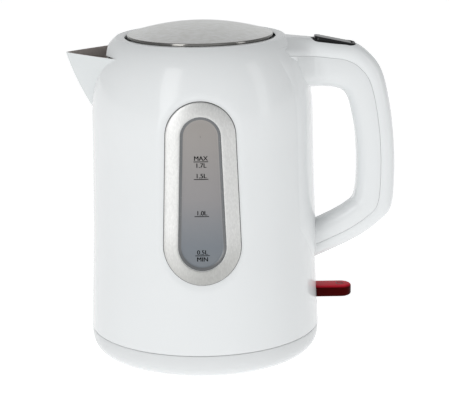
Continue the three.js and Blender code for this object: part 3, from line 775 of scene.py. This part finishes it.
def button_and_bezel():
    """The tilted release button with a leg into the handle, and the bezel round it."""
    rings = []
    for h, inset in ((-6.5, 0), (-1.1, 0), (-0.55, 0.1), (-0.2, 0.38), (-0.02, 0.8), (0.0, 1.3)):
        ring = rounded_bar(BUTTON_LONG - 2 * inset, BUTTON_WIDE - 2 * inset, 4 - inset * 0.7, 10)
        rings.append(button_ring(h, ring))
    button = loft("release_button_skin", rings, [BLACK_GLOSS])
    leg = [(87, 222), (87, 210.4), (87.6, 210.4), (91.6, 213.6), (91.6, 222)]
    cut(button, plate("leg", leg, 2.2), "UNION")

    outer = rounded_bar(BUTTON_LONG + 4.4, BUTTON_WIDE + 2.4, 4.7)
    bezel = well_block("button_bezel_skin", -4.6, 0.6, outer, [BLACK])
    bore = rounded_bar(BUTTON_LONG + 1, BUTTON_WIDE + 1, 4.5, 10)
    cut(bezel, loft("bore", [button_ring(h, bore) for h in (-30, 12)], []))
    rounded(bezel, 0.35, 2)
    return button, bezel


def switch():
    """The clear red rocker: a tongue with a round end, softened all over."""
    centre = SWITCH_TIP - SWITCH_HALF
    stem = [(50.0, 5.0), (76.0, 5.0), (79.0, SWITCH_HALF)]
    tip = [(centre + SWITCH_HALF * math.sin(a), -SWITCH_HALF * math.cos(a)) for a in spread(0, math.pi, 33)]
    plan = [(x, -y) for x, y in stem] + tip + stem[::-1]
    half = SWITCH_THICK / 2
    rings = [[(x, y, SWITCH_Z + h) for x, y in plan] for h in (-half, half)]
    lever = loft("switch_lever_skin", rings, [RED])
    pin_x, pin_r = 62, 1.8
    circle = spread(0, 2 * math.pi, 25)[:-1]
    pin = [(pin_x + pin_r * math.cos(a), SWITCH_Z + pin_r * math.sin(a)) for a in circle]
    cut(lever, plate("bore", pin, 20))
    return rounded(lever, 3.2, 8)


def power_mark():
    """A ring broken by a bar, moulded on top of the switch."""
    centre, top = SWITCH_TIP - SWITCH_HALF - 0.5, SWITCH_Z + SWITCH_THICK / 2
    radius, half, low, high = 2.6, 0.35, -0.05, 0.12
    points, faces = [], []
    arc = spread(math.radians(35), math.radians(325), 40)
    for h in (low, high):
        for r in (radius - half, radius + half):
            points += [(centre + r * math.cos(a), r * math.sin(a), top + h) for a in arc]
    n = len(arc)
    for i in range(n - 1):
        for a, b in ((0, 1), (1, 3), (3, 2), (2, 0)):
            faces.append((a * n + i, b * n + i, b * n + i + 1, a * n + i + 1))
    faces += [(0, n, 3 * n, 2 * n), (n - 1, 2 * n - 1, 4 * n - 1, 3 * n - 1)]
    mark = new_object("switch_mark", points, faces, [MARK])
    near, far = (centre + 0.4, -half, top + low), (centre + radius + 0.9, half, top + high)
    bar = box_piece("bar", near, far, [MARK])
    return cut(mark, bar, "UNION")


# ------------------------------------------------------------------ the water scale
SCALE_LINES = {90.3: "0.5L", 117.5: "1.0L", 143.1: "1.5L", 155.1: "MAX"}
SCALE_BELOW = {90.3: "MIN", 155.1: "1.7L"}
SCALE_HALF, SCALE_TEXT_SIZE, TEXT_ABOVE, TEXT_BELOW = 4.9, 4.35, 0.85, 4.0
INK_LAYER = PANE_LAYER + 0.09
INK_SHIFTS = (-0.09, 0.09)       # each word is drawn twice for a heavier stroke


def scale_text(text, z, shift):
    """A word's points on the pane with its foot at z, and its faces."""
    curve = bpy.data.curves.new("text", "FONT")
    curve.body = text
    curve.align_x = "CENTER"
    curve.size = SCALE_TEXT_SIZE
    curve.resolution_u = 5
    holder = bpy.data.objects.new("text", curve)
    bpy.context.scene.collection.objects.link(holder)
    graph = bpy.context.evaluated_depsgraph_get()
    mesh = bpy.data.meshes.new_from_object(holder.evaluated_get(graph))
    points = [on_wall(v.co.x + shift, z + v.co.y, INK_LAYER) for v in mesh.vertices]
    faces = [tuple(p.vertices) for p in mesh.polygons]
    bpy.data.objects.remove(holder)
    return points, faces


def scale_marks():
    """The printed volume scale: a line for each mark, with its words."""
    points, faces = [], []

    def take(new_points, new_faces):
        start = len(points)
        points.extend(new_points)
        faces.extend(tuple(start + v for v in face) for face in new_faces)

    columns = spread(-SCALE_HALF, SCALE_HALF, 27)
    for z, text in SCALE_LINES.items():
        strip = [on_wall(x, z + h, INK_LAYER) for h in (-0.25, 0.25) for x in columns]
        take(strip, grid_faces(2, len(columns), wrap_columns=False))
        for shift in INK_SHIFTS:
            take(*scale_text(text, z + TEXT_ABOVE, shift))
            if z in SCALE_BELOW:
                take(*scale_text(SCALE_BELOW[z], z - TEXT_BELOW, shift))
    marks = new_object("water_scale", points, faces, [INK], None, 80)
    for polygon in marks.data.polygons:
        if polygon.normal.y > 0:
            polygon.flip()
    return marks


# ------------------------------------------------------------------ build the pieces
def place(piece, body, slot_name, stands_for=()):
    """Hangs a finished piece on its body, in place of the CAD nodes it stands for."""
    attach(piece, body)
    for node in stands_for:
        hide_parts(node)


trim_skin = window_trim()
pane_skin = window_pane()
grip_skin, cover_skin = handle()
button_skin, bezel_skin = button_and_bezel()
place(jug_body(), "jug", "white_lacquer", ["jug_shell"])
place(spout(), "jug", "white_lacquer", ["spout"])
place(trim_skin, "jug", "brushed_steel", ["window_trim"])
place(pane_skin, "jug", "smoke_window", ["window_pane"])
place(scale_marks(), "jug", "smoke_window")
place(grip_skin, "jug", "white_plastic", ["handle_body"])
place(cover_skin, "jug", "white_plastic", ["handle_cover"])
place(bezel_skin, "jug", "black_plastic", ["button_bezel"])
place(button_skin, "button", "black_gloss", ["release_button"])
place(lid_cap(), "lid", "brushed_steel", ["lid_cap"])
place(base(), "base", "white_plastic", ["base_cover"])
place(switch(), "switch", "red_clear", ["switch_lever"])
place(power_mark(), "switch", "red_clear")


# ------------------------------------------------------------------ studio
def stage_look(name, color, roughness, glow):
    """A pale matt floor that glows a little, so that it comes out white."""
    look = Look(name, color, roughness, Emission_Color=(1, 1, 1, 1), Emission_Strength=glow)
    look.color(look.ramp(look.noise(3), [(0.3, tinted(color, 0.99)), (0.7, color)]))
    return look.material


FLOOR_HALF, FLOOR_NEAR, FLOOR_FAR = 9000, -3000, 14000
floor_corners = [(-FLOOR_HALF, FLOOR_NEAR, 0), (FLOOR_HALF, FLOOR_NEAR, 0),
                 (FLOOR_HALF, FLOOR_FAR, 0), (-FLOOR_HALF, FLOOR_FAR, 0)]
floor = new_object("floor", floor_corners, [(0, 1, 2, 3)], [stage_look("floor", (0.9, 0.9, 0.9), 0.6, 0.6)])


def soft_light(name, at, towards, size, power):
    """A rectangular area light, in metres and watts."""
    light = bpy.data.lights.new(name, "AREA")
    light.shape = "RECTANGLE"
    light.size, light.size_y = size
    light.energy = power
    holder = bpy.data.objects.new(name, light)
    holder.location = at
    holder.rotation_euler = (Vector(towards) - Vector(at)).to_track_quat("-Z", "Y").to_euler()
    bpy.context.scene.collection.objects.link(holder)


MIDDLE = (0, 0, 0.12)
soft_light("left_box", (-0.75, -1.15, 0.62), (0, 0, 0.14), (0.46, 1.25), 4.9)
soft_light("right_box", (1.2, -0.5, 0.6), MIDDLE, (0.3, 1.1), 1.5)
soft_light("top_box", (-0.2, -0.3, 1.6), MIDDLE, (1.2, 1.0), 0.4)

SKY = (0.82, 0.83, 0.835, 1)


def sky_range(nodes, start, end, at_start, at_end):
    """A node that takes `at_start` to `at_end` as its input goes from `start` to `end`."""
    node = nodes.new("ShaderNodeMapRange")
    for socket, value in (("From Min", start), ("From Max", end), ("To Min", at_start), ("To Max", at_end)):
        node.inputs[socket].default_value = value
    return node


def studio_world():
    """A pale world whose light is weaker from overhead and from both sides."""
    world = bpy.data.worlds.new("studio")
    world.use_nodes = True
    nodes, links = world.node_tree.nodes, world.node_tree.links
    direction = nodes.new("ShaderNodeSeparateXYZ")
    links.new(nodes.new("ShaderNodeTexCoord").outputs["Generated"], direction.inputs["Vector"])
    overhead = sky_range(nodes, 0.25, 0.95, 0.86, 0.42)
    links.new(direction.outputs["Z"], overhead.inputs["Value"])
    sideways = nodes.new("ShaderNodeMath")
    sideways.operation = "ABSOLUTE"
    links.new(direction.outputs["X"], sideways.inputs[0])
    flanks = sky_range(nodes, 0.45, 0.95, 1.0, 0.45)
    links.new(sideways.outputs["Value"], flanks.inputs["Value"])
    strength = nodes.new("ShaderNodeMath")
    strength.operation = "MULTIPLY"
    links.new(overhead.outputs["Result"], strength.inputs[0])
    links.new(flanks.outputs["Result"], strength.inputs[1])
    links.new(strength.outputs["Value"], nodes["Background"].inputs["Strength"])
    nodes["Background"].inputs["Color"].default_value = SKY
    bpy.context.scene.world = world


studio_world()
bpy.context.scene.view_settings.view_transform = "Standard"

# ------------------------------------------------------------------ camera
LOOK_DOWN, ROLL, DISTANCE = math.radians(14.09), math.radians(0.88), 1.163
AIM = Vector((0.0158, 0, 0.1095))
FOCAL_LENGTH, SENSOR_WIDTH = 129.07, 36


def photo_camera():
    """The photo's viewpoint: in front, a little above, with a slight roll."""
    forward = Vector((0, math.cos(LOOK_DOWN), -math.sin(LOOK_DOWN)))
    right, up = Vector((1, 0, 0)), Vector((0, math.sin(LOOK_DOWN), math.cos(LOOK_DOWN)))
    camera_x = right * math.cos(ROLL) - up * math.sin(ROLL)
    camera_y = right * math.sin(ROLL) + up * math.cos(ROLL)
    lens = bpy.data.cameras.new("camera")
    lens.lens, lens.sensor_width = FOCAL_LENGTH, SENSOR_WIDTH
    camera = bpy.data.objects.new("camera", lens)
    turn = Matrix((camera_x, camera_y, -forward)).transposed()
    camera.matrix_world = Matrix.Translation(AIM - forward * DISTANCE) @ turn.to_4x4()
    bpy.context.scene.collection.objects.link(camera)
    bpy.context.scene.camera = camera


photo_camera()
